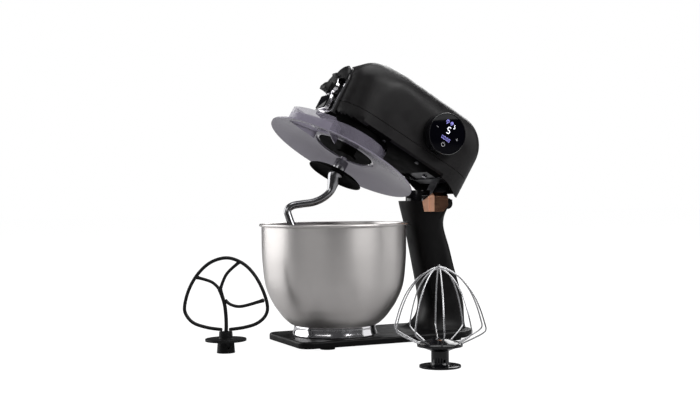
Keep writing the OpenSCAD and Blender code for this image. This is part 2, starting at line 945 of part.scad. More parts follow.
// Polished foot ring with three lugs for the seat's hooks
module bowl_foot() {
    color(chrome) {
        rotate_extrude() polygon([
            [foot_in, foot_z], [foot_out - 1, foot_z], [foot_out, foot_z + 1.5], [62.2, foot_top - 4],
            [61.8, foot_top + 2.2], [foot_in, foot_top + 1.6]]);
        rotate([0, 0, 90]) for (a = [0, 120, 240]) rotate([0, 0, a + 2])
            rotate_extrude(angle = 24) translate([54, foot_z + 2.2]) square([foot_in - 54 + 0.5, 3]);
    }
}

// Loose flat beater, standing on its socket

// A line of even width through the points, with round ends
module stroke(points, w) {
    for (i = [0 : len(points) - 2]) hull() {
        translate(points[i]) circle(r = w / 2, $fn = 16);
        translate(points[i + 1]) circle(r = w / 2, $fn = 16);
    }
}

beater_loop = [
    [-6, 33], [-26, 36], [-46, 43], [-57, 56], [-58, 70], [-51, 93], [-38, 114],
    [-20, 129.5], [2, 135.5], [22, 129.5], [38, 116], [51, 95], [59.5, 70], [58, 54], [46, 42],
    [28, 36], [6, 33]];
beater_stem = [[0, 24], [0.8, 36], [0.5, 52], [-1.5, 70], [-7.5, 90]];
beater_left = [[-7.5, 90], [-19, 101], [-40, 108]];
beater_right = [[-7.5, 90], [2, 112], [20, 129]];
beater_side = [[0.5, 74], [9, 68], [24, 66], [54, 74]];

module flat_beater() {
    color(black) translate(beater_at) rotate([0, 0, beater_turn]) rotate([90, 0, 0]) translate([0, 0, -3])
        linear_extrude(6) {
            stroke(smooth(beater_loop, 48), 5);
            stroke(smooth(beater_stem, 6), 5.4);
            stroke(smooth(beater_left, 6), 4.6);
            stroke(smooth(beater_right, 6), 4.6);
            stroke(smooth(beater_side, 8), 4.6);
        }
}

module beater_hub() {
    color(black) translate(beater_at) difference() {
        rotate_extrude() polygon([
            [0, 0], [13, 0], [11.8, 17], [29.5, 17], [29.5, 20], [10, 20.5], [9.5, 30], [0, 30]]);
        rod(tool_r + run, -1, 16);
        translate([0, 0, 8]) along_x(-20, 20, 1.7);
    }
}

// Loose whisk, standing on its base disc

whisk_line = [
    [26, 29], [44, 38], [56, 45], [60, 50], [58.5, 58], [52, 78], [42, 98], [27, 115], [11, 124.5],
    [0, 127]];

module whisk_wires() {
    half = smooth(whisk_line, 22);
    n = len(half);
    color(chrome) translate(whisk_at) for (i = [0 : whisk_loops - 1])
        rotate([0, 0, 180 * i / whisk_loops + 12]) {
            lift = i * (wire_d + 0.05) / 2;
            full = concat(
                [for (p = half) [p[0], 0, p[1] + lift * (1 - p[0] / 60)]],
                [for (k = [n - 2 : -1 : 0]) [-half[k][0], 0, half[k][1] + lift * (1 - half[k][0] / 60)]]);
            sweep(full, [for (p = full) wire_d / 2], [0, 1, 0], 8);
        }
}

module whisk_hub() {
    color(black) translate(whisk_at) difference() {
        rotate_extrude() polygon([
            [0, 0], [27, 0], [27, 2.6], [13, 3.4], [11.5, 6], [11.5, 21], [25, 26.5], [29.5, 27],
            [29.5, 30], [26, 32], [10, 36.5], [0, 37]]);
        rod(tool_r + run, -1, 18);
        translate([0, 0, 9]) along_x(-20, 20, 1.7);
    }
}

on_seat() stand_body();
on_seat() base_cover();
on_seat() base_screws();
on_seat() rubber_feet();
on_seat() bowl_seat();
on_seat() hinge_post();
on_seat() hinge_pin();
on_seat() button_guide();
on_seat() release_button();
on_seat() latch_bar();
on_seat() latch_spring();
on_seat() cord_gland();
on_seat() upper_housing();
on_seat() lower_housing();
on_seat() hinge_bracket();
on_seat() hinge_bushes();
on_seat() bracket_screws();
on_seat() gear_housing();
on_seat() gearbox_cover();
on_seat() gearbox_pillars();
on_seat() ring_gear();
on_seat() main_bearings();
on_seat() drip_ring();
on_seat() motor_stator();
on_seat() field_coils();
on_seat() motor_frame();
on_seat() drive_belt();
on_seat() housing_screws();
on_seat() hub_panel();
on_seat() hub_bezel();
on_seat() hub_collar();
on_seat() badge_block();
on_seat() badge_glass();
on_seat() display_housing();
on_seat() display_board();
on_seat() display_glass();
on_seat() dial_ring();
on_seat() rotor();
on_seat() motor_fan();
on_seat() motor_pulley();
on_seat() counter_gear();
on_seat() belt_pulley();
on_seat() main_shaft();
on_seat() main_gear();
on_seat() planet_carrier();
on_seat() tool_shaft();
on_seat() planet_gear();
on_seat() drive_pin();
on_seat() hook_socket();
on_seat() hook_shield();
on_seat() dough_hook();
on_seat() front_drive();
on_seat() hub_cap();
on_seat() splash_guard();
on_seat() bowl_shell();
on_seat() bowl_foot();
on_seat() flat_beater();
on_seat() beater_hub();
on_seat() whisk_wires();
on_seat() whisk_hub();
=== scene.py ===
"""Looks for the stand mixer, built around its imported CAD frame. Lengths in the shape code are in
millimetres above the table, with the head level, and are brought into the row frame at the end."""
import json
import math

import bmesh
import bpy
from mathutils import Matrix, Vector
from mathutils.bvhtree import BVHTree


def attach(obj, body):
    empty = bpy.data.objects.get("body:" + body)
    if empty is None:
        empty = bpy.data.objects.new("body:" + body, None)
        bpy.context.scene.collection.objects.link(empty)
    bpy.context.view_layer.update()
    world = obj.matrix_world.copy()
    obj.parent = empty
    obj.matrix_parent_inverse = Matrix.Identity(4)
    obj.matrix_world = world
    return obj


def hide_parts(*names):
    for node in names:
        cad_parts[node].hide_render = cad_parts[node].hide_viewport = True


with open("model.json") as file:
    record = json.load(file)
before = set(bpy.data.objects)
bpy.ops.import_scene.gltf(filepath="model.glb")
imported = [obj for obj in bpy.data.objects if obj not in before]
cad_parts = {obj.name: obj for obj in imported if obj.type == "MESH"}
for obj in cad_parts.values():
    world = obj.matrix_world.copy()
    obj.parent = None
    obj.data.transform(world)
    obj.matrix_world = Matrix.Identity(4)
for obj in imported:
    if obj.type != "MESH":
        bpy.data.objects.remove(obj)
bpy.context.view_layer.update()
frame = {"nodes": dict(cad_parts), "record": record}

SCENE = bpy.context.scene
NODES = frame["nodes"]
MM = Matrix.Scale(0.001, 4)
TABLE = -0.014
STAND = Matrix.Translation((0, 0, TABLE)) @ MM
# the hinge pin's axis, which runs along X
PIN = (179.5, 208.8)
PIVOT = Vector((0, *PIN))
HEAD_RAISE = -30.2
HEAD = (STAND @ Matrix.Translation(PIVOT) @ Matrix.Rotation(math.radians(HEAD_RAISE), 4, "X")
        @ Matrix.Translation(-PIVOT))
DIAL_AXIS = (104, 286)
DIAL = HEAD @ Matrix.Translation((0, *DIAL_AXIS))
# the tool's axis: by how many degrees it stands round the carrier, and how far from the middle
PLANET_ANGLE = -10
PLANET_OUT = 22.5
TOOL = (HEAD @ Matrix.Rotation(math.radians(PLANET_ANGLE), 4, "Z")
        @ Matrix.Translation((PLANET_OUT, 0, 0)))
# where the head's two shells meet, by how much they overlap there, and their wall
SEAM = 252
LAP = 0.4
SHELL = 3


# ---------------------------------------------------------------- materials

class Graph:
    """A small helper for building one material's nodes."""

    def __init__(self, name):
        self.material = bpy.data.materials.new(name)
        self.material.use_nodes = True
        self.tree = self.material.node_tree
        self.shader = self.tree.nodes["Principled BSDF"]
        self.coords = self.tree.nodes.new("ShaderNodeTexCoord").outputs["Object"]

    def link(self, out, socket):
        self.tree.links.new(out, socket)

    def stretched(self, scale):
        node = self.tree.nodes.new("ShaderNodeMapping")
        node.inputs["Scale"].default_value = scale
        self.link(self.coords, node.inputs["Vector"])
        return node.outputs["Vector"]

    def noise(self, scale, detail=4, stretch=None):
        node = self.tree.nodes.new("ShaderNodeTexNoise")
        node.inputs["Scale"].default_value = scale
        node.inputs["Detail"].default_value = detail
        self.link(self.stretched(stretch) if stretch else self.coords, node.inputs["Vector"])
        return node.outputs["Fac"]

    def spread(self, value, low, high, from_low=0.35, from_high=0.65):
        node = self.tree.nodes.new("ShaderNodeMapRange")
        for key, number in (("From Min", from_low), ("From Max", from_high),
                            ("To Min", low), ("To Max", high)):
            node.inputs[key].default_value = number
        self.link(value, node.inputs["Value"])
        return node.outputs["Result"]

    def mix(self, factor, a, b):
        node = self.tree.nodes.new("ShaderNodeMix")
        node.data_type = "RGBA"
        node.inputs[6].default_value = (*a, 1)
        node.inputs[7].default_value = (*b, 1)
        self.link(factor, node.inputs[0])
        return node.outputs[2]

    def bump(self, height, strength, distance=0.0002, under=None):
        node = self.tree.nodes.new("ShaderNodeBump")
        node.inputs["Strength"].default_value = strength
        node.inputs["Distance"].default_value = distance
        self.link(height, node.inputs["Height"])
        if under:
            self.link(under, node.inputs["Normal"])
        return node.outputs["Normal"]


def finish(name, colour, rough, metal=0, tint=0.15, rough_span=0.07, grain=900, bump=0.12,
           stretch=None, scratch=0, blotch=14, **sockets):
    """A surface with a fine grain, patches of different sheen, faint scratches and a colour that
    drifts a little."""
    g = Graph(name)
    drift = g.spread(g.noise(blotch, 3), 0, 1)
    low = tuple(c * (1 - tint) for c in colour)
    high = tuple(min(c * (1 + tint), 1) for c in colour)
    g.link(g.mix(drift, low, high), g.shader.inputs["Base Color"])
    patches = g.noise(55, 6, stretch)
    g.link(g.spread(patches, max(rough - rough_span, 0.02), rough + rough_span),
           g.shader.inputs["Roughness"])
    normal = g.bump(g.noise(grain, 2, stretch), bump)
    if scratch:
        lines = g.spread(g.noise(30, 8, (1, 14, 60)), 0, 1, 0.60, 0.72)
        normal = g.bump(lines, scratch, 0.0001, normal)
    g.link(normal, g.shader.inputs["Normal"])
    g.shader.inputs["Metallic"].default_value = metal
    for key, value in sockets.items():
        g.shader.inputs[key.replace("_", " ")].default_value = value
    return g


def spun(name, colour, rough, anisotropic, fine=(6, 6, 900), **rest):
    """Spun or brushed metal: lines round the Z axis and highlights drawn out across them."""
    g = finish(name, colour, rough, 1, stretch=fine, grain=1, **rest)
    tangent = g.tree.nodes.new("ShaderNodeTangent")
    tangent.direction_type = "RADIAL"
    tangent.axis = "Z"
    g.link(tangent.outputs["Tangent"], g.shader.inputs["Tangent"])
    g.shader.inputs["Anisotropic"].default_value = anisotropic
    g.shader.inputs["Anisotropic Rotation"].default_value = 0.25
    return g


MATERIALS = {
    "matte_black": finish("moulded matte black", (0.0075, 0.0068, 0.0072), 0.42, bump=0.10, grain=1300,
                          scratch=0.02, Specular_IOR_Level=0.22),
    "gloss_black": finish("gloss black plastic", (0.005, 0.005, 0.006), 0.13, rough_span=0.04,
                          bump=0.03, scratch=0.02, Specular_IOR_Level=0.35),
    "tool_black": finish("coated black casting", (0.005, 0.005, 0.0055), 0.38, bump=0.25, grain=700,
                         Specular_IOR_Level=0.2),
    "display_black": finish("black display glass", (0.0015, 0.0015, 0.003), 0.08, rough_span=0.03,
                            bump=0.01, Specular_IOR_Level=0.06),
    "cast_black": finish("black casting", (0.008, 0.008, 0.009), 0.5, bump=0.4, grain=500,
                         Specular_IOR_Level=0.2),
    "bowl_steel": spun("brushed bowl steel", (0.66, 0.635, 0.62), 0.40, 0.75, rough_span=0.05,
                       bump=0.10, tint=0.04),
    "chrome": finish("polished chrome", (0.78, 0.77, 0.79), 0.10, 1, rough_span=0.05, bump=0.02,
                     tint=0.05, scratch=0.03),
    "hook_steel": finish("dark polished steel", (0.30, 0.30, 0.31), 0.18, 1, rough_span=0.06,
                         bump=0.04, scratch=0.04),
    "plain_steel": finish("plain steel", (0.42, 0.42, 0.44), 0.32, 1, rough_span=0.1, bump=0.12,
                          scratch=0.08),
    "rose_gold": finish("polished rose gold", (0.70, 0.36, 0.23), 0.13, 1, rough_span=0.04,
                        bump=0.05, stretch=(1, 1, 8), tint=0.06),
    # rougher than the polished rose gold, which is a satin finish, and lighter in colour, which is a painted
    # highlight
    "brushed_rose_painted_highlight": finish("satin rose gold lightened as painted highlight", (0.86, 0.48, 0.33), 0.42, 1, rough_span=0.06,
                           bump=0.06, stretch=(1, 1, 8), tint=0.06),
    # painted shade: the head's matte black made darker for the whole stand, standing in for the shade under
    # the head
    "painted_shade_stand_black": finish("moulded black darkened as painted shade", (0.003, 0.0028, 0.003), 0.42, bump=0.10, grain=1300,
                          scratch=0.02, Specular_IOR_Level=0.13),
    "wire_steel": finish("drawn steel wire", (0.46, 0.46, 0.47), 0.2, 1, bump=0.04, scratch=0.05),
    # a near-black with almost no sheen, painted shade for faces and parts that sit in shadow under the head
    "painted_shade_black": finish("matte black painted with shade", (0.0015, 0.0014, 0.0015), 0.7, bump=0.10, grain=1300,
                              Specular_IOR_Level=0.04),
    "dark_screw": finish("blackened steel", (0.05, 0.05, 0.055), 0.35, 1, bump=0.1),
    "rubber": finish("black rubber", (0.025, 0.025, 0.025), 0.75, bump=0.5, grain=400),
    "winding": finish("enamelled copper wire", (0.45, 0.16, 0.06), 0.3, 1, stretch=(1, 1, 12),
                      bump=0.8, grain=160),
    "circuit_board": finish("green circuit board", (0.02, 0.14, 0.05), 0.4, bump=0.3, grain=300),
    "nylon": finish("natural nylon", (0.66, 0.62, 0.50), 0.45, bump=0.1, grain=500),
    "bronze": finish("sintered bronze", (0.48, 0.32, 0.13), 0.4, 1, bump=0.4, grain=800),
    "clear_plastic": finish("clear smoked plastic", (0.27, 0.25, 0.31), 0.16, rough_span=0.04,
                            bump=0.02, tint=0.05, IOR=1.46, Alpha=0.84),
}
# the guard's plate is frosted, its collar and chute are clearer: told apart by the height along the
# guard's own axis, where the plate ends at PLATE_TOP with the head level
PLATE_TOP = 201
FROSTED, CLEARER = 0.86, 0.42
guard = MATERIALS["clear_plastic"]
turned = guard.tree.nodes.new("ShaderNodeMapping")
turned.inputs["Rotation"].default_value = (math.radians(-HEAD_RAISE), 0, 0)
guard.link(guard.coords, turned.inputs["Vector"])
parts = guard.tree.nodes.new("ShaderNodeSeparateXYZ")
guard.link(turned.outputs["Vector"], parts.inputs["Vector"])
level = (Matrix.Rotation(math.radians(-HEAD_RAISE), 4, "X") @ HEAD @ Vector((0, 0, PLATE_TOP))).z
alpha = guard.spread(parts.outputs["Z"], FROSTED, CLEARER, level - 0.001, level + 0.001)
guard.link(alpha, guard.shader.inputs["Alpha"])
ICONS = {"icon_white": ((0.86, 0.88, 1.0), 1.15), "icon_blue": ((0.36, 0.34, 0.95), 0.85),
         "icon_grey": ((0.42, 0.42, 0.44), 0.45)}
for key, (colour, strength) in ICONS.items():
    lamp = finish(key.replace("_", " "), colour, 0.5)
    lamp.shader.inputs["Emission Color"].default_value = (*colour, 1)
    lamp.shader.inputs["Emission Strength"].default_value = strength
    MATERIALS[key] = lamp


# ---------------------------------------------------------------- shapes

def solid(name, verts, faces):
    mesh = bpy.data.meshes.new(name)
    mesh.from_pydata([tuple(v) for v in verts], [], faces)
    bm = bmesh.new()
    bm.from_mesh(mesh)
    bmesh.ops.recalc_face_normals(bm, faces=bm.faces)
    bm.to_mesh(mesh)
    bm.free()
    piece = bpy.data.objects.new(name, mesh)
    SCENE.collection.objects.link(piece)
    return piece


def skin(name, rings, closed=False):
    """A solid through rings with equal numbers of points; closed joins the last ring to the first."""
    n, m = len(rings[0]), len(rings)
    faces = [(i * n + k, i * n + (k + 1) % n, (i + 1) % m * n + (k + 1) % n, (i + 1) % m * n + k)
             for i in range(m if closed else m - 1) for k in range(n)]
    if not closed:
        faces += [tuple(range(n)), tuple(range((m - 1) * n, m * n))]
    return solid(name, [p for r in rings for p in r], faces)


def lathe(name, profile, sides=96, centre=(0, 0)):
    """A closed profile of (radius, height) turned about the vertical through centre."""
    rings = [[(centre[0] + r * math.cos(a), centre[1] + r * math.sin(a), z) for r, z in profile]
             for a in (math.tau * k / sides for k in range(sides))]
    piece = skin(name, rings, closed=True)
    bm = bmesh.new()
    bm.from_mesh(piece.data)
    bmesh.ops.remove_doubles(bm, verts=bm.verts, dist=1e-4)
    bmesh.ops.dissolve_degenerate(bm, edges=bm.edges, dist=1e-4)
    bmesh.ops.recalc_face_normals(bm, faces=bm.faces)
    bm.to_mesh(piece.data)
    bm.free()
    return piece


def curve(points, steps):
    """Points at even parameters along a smooth curve through the given points."""
    p = [Vector(q) for q in points]
    out = []
    for k in range(steps + 1):
        t = k * (len(p) - 1) / steps
        i = min(int(t), len(p) - 2)
        f = t - i
        a, b, c, d = p[max(i - 1, 0)], p[i], p[i + 1], p[min(i + 2, len(p) - 1)]
        out.append(0.5 * (2 * b + (c - a) * f + (2 * a - 5 * b + 4 * c - d) * f * f
                          + (3 * b - a - 3 * c + d) * f * f * f))
    return out


def tube(name, path, radii, side, sides=24, flat=1.0):
    """A tube along a path that lies across the direction side, with rounded ends."""
    side = Vector(side)
    rings = []
    n = len(path)
    for i in range(n):
        ahead = (path[min(i + 1, n - 1)] - path[max(i - 1, 0)]).normalized()
        up = ahead.cross(side).normalized()
        r = radii[i]
        rings.append([path[i] + r * (flat * math.cos(a) * side + math.sin(a) * up)
                      for a in (math.tau * k / sides for k in range(sides))])
    for end, other in ((0, 1), (-1, -2)):
        out = (path[end] - path[other]).normalized()
        base, centre, r = rings[end], path[end], radii[end]
        caps = [[centre + (p - centre) * math.cos(t) + out * (r * math.sin(t) * 0.6) for p in base]
                for t in (math.radians(a) for a in (30, 55, 75, 86))]
        rings = caps[::-1] + rings if end == 0 else rings + caps
    return skin(name, rings)


def prism(name, outline, low, high, axis="Z"):
    """A solid between two heights of a flat outline; axis X or Y turns it to run that way."""
    turn = {"Z": lambda a, b, c: (a, b, c), "X": lambda a, b, c: (c, a, b),
            "Y": lambda a, b, c: (a, c, b)}[axis]
    return skin(name, [[turn(a, b, c) for a, b in outline] for c in (low, high)])


def box(name, low, high):
    """A block between two opposite corners."""
    outline = [(low[0], low[1]), (high[0], low[1]), (high[0], high[1]), (low[0], high[1])]
    return prism(name, outline, low[2], high[2])


def round_rod(name, r, low, high, centre=(0, 0), axis="Z", sides=96):
    outline = [(centre[0] + r * math.cos(a), centre[1] + r * math.sin(a))
               for a in (math.tau * k / sides for k in range(sides))]
    return prism(name, outline, low, high, axis)


def bake(piece):
    """Applies a piece's modifiers to its mesh."""
    graph = bpy.context.evaluated_depsgraph_get()
    mesh = bpy.data.meshes.new_from_object(piece.evaluated_get(graph))
    piece.modifiers.clear()
    piece.data = mesh
    return piece


def carve(piece, tools, operation="DIFFERENCE"):
    """Cuts the tools out of a piece, or joins them to it, and deletes them."""
    for tool in tools:
        m = piece.modifiers.new("carve", "BOOLEAN")
        m.object, m.operation, m.solver = tool, operation, "EXACT"
    bake(piece)
    for tool in tools:
        bpy.data.objects.remove(tool)
    return piece


def dress(piece, place, body, slot, nodes=(), sharp=32, bevel=0, material=None, weighted=True):
    """Brings a piece into the row frame, smooths and paints it, and ties it to its body."""
    piece.data.transform(place)
    piece.data.shade_smooth()
    piece.data.set_sharp_from_angle(angle=math.radians(sharp))
    piece.data.materials.clear()
    piece.data.materials.append(MATERIALS[material or slot].material)
    if bevel:
        m = piece.modifiers.new("edges", "BEVEL")
        m.width, m.segments, m.limit_method = bevel * 0.001, 3, "ANGLE"
        m.angle_limit = math.radians(max(sharp, 32))
        m.harden_normals = False
    if weighted:
        m = piece.modifiers.new("shading", "WEIGHTED_NORMAL")
        m.keep_sharp = True
    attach(piece, body)
    if nodes:
        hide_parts(*nodes)
    return piece


# ---------------------------------------------------------------- the head's housing

def head_outline():
    """The convex form that the head is moulded to, stretched over rounded forms on each side."""
    bm = bmesh.new()
    # the middle and the half sizes of each form on the right
    balls = [((25, -4, 290), (37, 52, 50)), ((32, 138, 290), (30, 50, 50)),
             ((32, 20, 310), (30, 30, 30)), ((27, -12, 297), (34, 44, 40)),
             ((25, -4, 236), (37, 50, 7)), ((32, 138, 236), (30, 49, 7))]
    rows, sides = 32, 64
    for (x, y, z), (a, b, c) in balls:
        for i in range(rows + 1):
            v = math.pi * i / rows - math.pi / 2
            for k in range(sides):
                u = math.tau * k / sides
                across = x + a * math.cos(v) * math.cos(u)
                along = y + b * math.cos(v) * math.sin(u)
                for side in (1, -1):
                    bm.verts.new((side * across, along, z + c * math.sin(v)))
    bmesh.ops.convex_hull(bm, input=bm.verts)
    bm.faces.ensure_lookup_table()
    return BVHTree.FromBMesh(bm)


def head_skin(name, inset):
    """The head's form as even rings, shrunk by inset: fans of rings at both ends of a straight middle."""
    tree = head_outline()
    sides, middle = 144, 284
    front, step, fan, straight, widest = 2, 11, 24, 12, 88
    rings = []
    for i in range(2 * fan + straight + 1):
        if i <= fan:
            y, lean = front, math.radians(-widest + widest * i / fan)
        elif i <= fan + straight:
            y, lean = front + (i - fan) * step, 0
        else:
            y, lean = front + straight * step, math.radians(widest * (i - fan - straight) / fan)
        ring = []
        for k in range(sides):
            a = math.tau * k / sides
            # more rays towards the corners of the section
            a -= 0.12 * math.sin(4 * a)
            ray = Vector((math.cos(a) * math.cos(lean), math.sin(lean), math.sin(a) * math.cos(lean)))
            ring.append(tree.ray_cast(Vector((0, y, middle)), ray)[0])
        rings.append(ring)
    form = skin(name, rings)
    if inset:
        normals = [v.normal.copy() for v in form.data.vertices]
        for v, n in zip(form.data.vertices, normals):
            v.co -= n * inset
    return form


ARCH_Z = 285


def arch(r, low, steps=40):
    """The nose's outline: straight sides from low up to a half circle."""
    return [(-r, low), (r, low)] + [(r * math.cos(a), ARCH_Z + r * math.sin(a))
                                    for a in (math.pi * k / steps for k in range(steps + 1))]


def skirt(inset):
    """The wall that hangs beside and behind the knuckle; its edge drops towards the back."""
    w = 61.85 - inset
    depth = 48.8 - inset
    turn_x, turn_y = 32, 138
    half = [(w, 136)] + [(turn_x + (w - turn_x) * math.cos(a), turn_y + depth * math.sin(a))
                         for a in (math.radians(k) for k in range(0, 91, 5))]
    outline = half + [(-x, y) for x, y in half[::-1]]
    piece = prism("skirt", outline, 212, 237.5 if not inset else 240)
    if not inset:
        front, run, high, drop = 140, 36, 229.4, 8.4
        edge = [(100, high), (front, high)] + [
            (front + run * t, high - drop * (3 * t * t - 2 * t ** 3)) for t in (k / 12 for k in range(1, 13))]
        under = [(100, 190)] + edge + [(220, high - drop), (220, 190)]
        carve(piece, [prism("under", under, -90, 90, "X")])
    return piece


# the nose's half width, its lower edge and its front face
NOSE_R, NOSE_LOW, NOSE_FRONT = 29, 231, -57

upper = head_skin("outer", 0)
carve(upper, [prism("nose", arch(NOSE_R, NOSE_LOW), NOSE_FRONT, -20, "Y"), skirt(0)], "UNION")
carve(upper, [head_skin("inner", SHELL),
              prism("nose_room", arch(NOSE_R - SHELL, NOSE_LOW + SHELL), NOSE_FRONT - SHELL, -10, "Y"),
              skirt(SHELL)])
lower = bpy.data.objects.new("lower_shell", upper.data.copy())
SCENE.collection.objects.link(lower)
upper.name = "upper_shell"
carve(upper, [box("below", (-90, -90, 100), (90, 260, SEAM + LAP)),
              round_rod("dial_hole", 20, 40, 90, DIAL_AXIS, "X")])
carve(lower, [box("above", (-90, -90, SEAM - LAP), (90, 260, 400)),
              round_rod("gear_hole", 57.2, 200, 236.5),
              box("hinge_room", (-43, 118, 190), (43, 185, 234)),
              box("hinge_back", (-42, 150, 190), (42, 210, 230)),
              round_rod("knuckle_room", 18.7, -43, 43, PIN, "X")])
dress(upper, HEAD, "head", "matte_black", ("upper_housing",), sharp=38, bevel=0.35)
dress(lower, HEAD, "head", "matte_black", ("lower_housing",), sharp=38, bevel=0.35)
# painted shade: faces whose normal points down by at least this share get a near-black that stands in for the
# shade under the head
lower.data.materials.append(MATERIALS["painted_shade_black"].material)
DOWNWARD = 0.75
down = HEAD.to_3x3() @ Vector((0, 0, -1 / MM[0][0]))
for face in lower.data.polygons:
    face.material_index = int(face.normal.dot(down) > DOWNWARD)

# ---------------------------------------------------------------- nose trim

def bezel(name, low, high, slot):
    """The stepped frame round the nose, between two heights."""
    wide, step = 5, 2
    ring = prism(name, arch(NOSE_R, NOSE_LOW), NOSE_FRONT - 2.4, NOSE_FRONT, "Y")
    carve(ring, [prism("hole", arch(NOSE_R - wide, NOSE_LOW + wide), -62, -55, "Y"),
                 prism("step", arch(NOSE_R - step, NOSE_LOW + step), -62, NOSE_FRONT - 1.6, "Y"),
                 box("over", (-40, -70, high), (40, -50, 400)),
                 box("under", (-40, -70, 100), (40, -50, low))])
    dress(ring, HEAD, "head", slot, ("hub_bezel",), sharp=30, bevel=0.25)


CHROME_TOP = 287
bezel("bezel_sides", 200, CHROME_TOP, "chrome")
bezel("bezel_top", CHROME_TOP, 390, "gloss_black")

# ---------------------------------------------------------------- the stand

# the base: half its width, its front and rear ends, and the radii of its rear and front corners
BASE_HALF, BASE_FRONT, BASE_REAR = 74, -83.4, 219
HEEL, CORNER = 52, 18
# the levels of its top face and of the edge under it, and the rounding of the top edge
BASE_TOP, BASE_UNDER, EDGE = 14, 4, 3.2


def plan(inset, steps=14):
    """The base's outline, shrunk by inset."""
    out = []
    for cx, cy, r, a0 in ((BASE_HALF - CORNER, BASE_FRONT + CORNER, CORNER, -90),
                          (BASE_HALF - HEEL, BASE_REAR - HEEL, HEEL, 0),
                          (HEEL - BASE_HALF, BASE_REAR - HEEL, HEEL, 90),
                          (CORNER - BASE_HALF, BASE_FRONT + CORNER, CORNER, 180)):
        for k in range(steps + 1):
            a = math.radians(a0 + 90 * k / steps)
            out.append((cx + (r - inset) * math.cos(a), cy + (r - inset) * math.sin(a)))
    return out


def at_height(points, z):
    return [(x, y, z) for x, y in points]


rounding = [(EDGE * (1 - math.cos(t)), BASE_TOP - EDGE + EDGE * math.sin(t))
            for t in (math.radians(a) for a in range(0, 91, 15))]
lower_edge = [(1.0, BASE_UNDER), (0.3, BASE_UNDER + 0.3), (0, BASE_UNDER + 1)]
stand = skin("plate", [at_height(plan(i), z) for i, z in lower_edge + rounding])

# the neck's rings: height, front, rear and half width
NECK = [(13.5, 116, 216.6, 50), (16, 128, 217, 46), (24, 139, 216.5, 41), (36, 147, 216.5, 38),
        (54, 150, 215.5, 36), (80, 146, 209, 34), (110, 140, 200, 33), (140, 134, 192, 32.5),
        (171, 128, 182, 33), (188, 124, 182.5, 35), (203, 120, 189, 37), (213.6, 118, 188, 38)]
NECK_STEPS = 66
HOLLOW_STEPS = 50
NECK_WALL = 4


def neck_ring(z, front, rear, half, inset, sides=96, power=2.6):
    """One ring of the neck, an oval with squared shoulders, shrunk by inset."""
    out = []
    for k in range(sides):
        a = math.tau * k / sides
        across, along = (math.copysign(abs(v) ** (2 / power), v) for v in (math.cos(a), math.sin(a)))
        out.append(((half - inset) * across,
                    (front + rear) / 2 + ((rear - front) / 2 - inset) * along, z))
    return out


# the neck's rings are run through a smooth curve, which takes three of the four numbers at a time
smooth_neck = [(a[0], a[1], a[2], b[0]) for a, b in zip(
    curve([q[:3] for q in NECK], NECK_STEPS), curve([(q[3], 0, 0) for q in NECK], NECK_STEPS))]
neck = skin("neck", [neck_ring(*q, 0) for q in smooth_neck] + [neck_ring(*smooth_neck[-1], 1)])
neck_room = skin("neck_room", [neck_ring(12, *smooth_neck[0][1:], NECK_WALL)]
                 + [neck_ring(*q, NECK_WALL) for q in smooth_neck[:HOLLOW_STEPS]])
KNUCKLE_HALF = 33
knuckle = round_rod("knuckle", 8.5, -KNUCKLE_HALF, KNUCKLE_HALF, PIN, "X")
# the block that carries the knuckles, squared off behind the button
SHOULDER = [(150, 186), (166, 186), (172, 193.5), (178, 200.5), (185.5, 205), (187, 208),
            (187, 215), (150, 215)]
shoulder = prism("shoulder", SHOULDER, -34, 34, "X")
carve(stand, [neck, knuckle, shoulder], "UNION")
# the button's outline in its own plane, towards the rear and up from its middle
BUTTON = [(-18, -14.5), (13, -14.5), (20.5, -6), (21, 14.5), (-3, 14.5), (-21, 2)]
BUTTON_AT = (152, 211.5)


def button_outline(grow):
    return [(BUTTON_AT[0] + (y + math.copysign(grow, y)), BUTTON_AT[1] + (z + math.copysign(grow, z)))
            for y, z in BUTTON]


WELL_R, WELL_Y = 20, 145.5
well = [(WELL_R * math.cos(a), WELL_Y + WELL_R * math.sin(a))
        for a in (math.radians(k) for k in range(180, 361, 6))]
carve(stand, [prism("under_room", plan(4), 3, 11), neck_room,
              box("lug_slot", (-12.4, 156, 186), (12.4, 216, 250)),
              round_rod("seat_room", 69, 12, 15),
              prism("well", well + [(WELL_R, WELL_Y + 10), (-WELL_R, WELL_Y + 10)], 176, 260),
              box("button_window", (12, 135, 201), (36, 169, 222)),
              prism("button_recess", button_outline(0.7), 34.8, 60, "X"),
              round_rod("gland_hole", 4.2, 211, 231, (0, 9), "Y", 32),
              round_rod("pin_hole", 5, -KNUCKLE_HALF - 0.05, KNUCKLE_HALF + 0.05, PIN, "X", 48)])
# the stand gets the darker black, painted shade for the neck under the head
dress(stand, STAND, "stand", "matte_black", ("stand_body",), sharp=34, bevel=0.5, material="painted_shade_stand_black")

# ---------------------------------------------------------------- release button

def button_part(name, low, high, profile):
    """The part of the button from y = low to high under a profile of (y, x) across its face."""
    part = prism(name, button_outline(0), 39.5, 45.55, "X")
    above = [(x, y) for y, x in profile] + [(60, high + 1), (60, low - 1)]
    chamfer = [(39, 226.5), (45.6, 220.5), (60, 220.5), (60, 240), (39, 240)]
    return carve(part, [prism("above", above, 180, 240), prism("chamfer", chamfer, 100, 200, "Y"),
                        box("front", (0, 60, 180), (60, low, 240)),
                        box("rear", (0, high, 180), (60, 240, 240))])


# the flat face lies behind y = 149, the facets with the groove lie in front of it
FACE_START = 149
face_line = [(148, 45.5), (201, 45.5)]
facet_line = [(99, 36), (131, 40.2), (139.4, 43.4), (140, 42.2), (141.6, 42.2), (142.2, 43), (150, 45.4)]
dress(button_part("button_face", FACE_START, 200, face_line), STAND, "button", "rose_gold",
      ("release_button",), sharp=20, bevel=0.3)
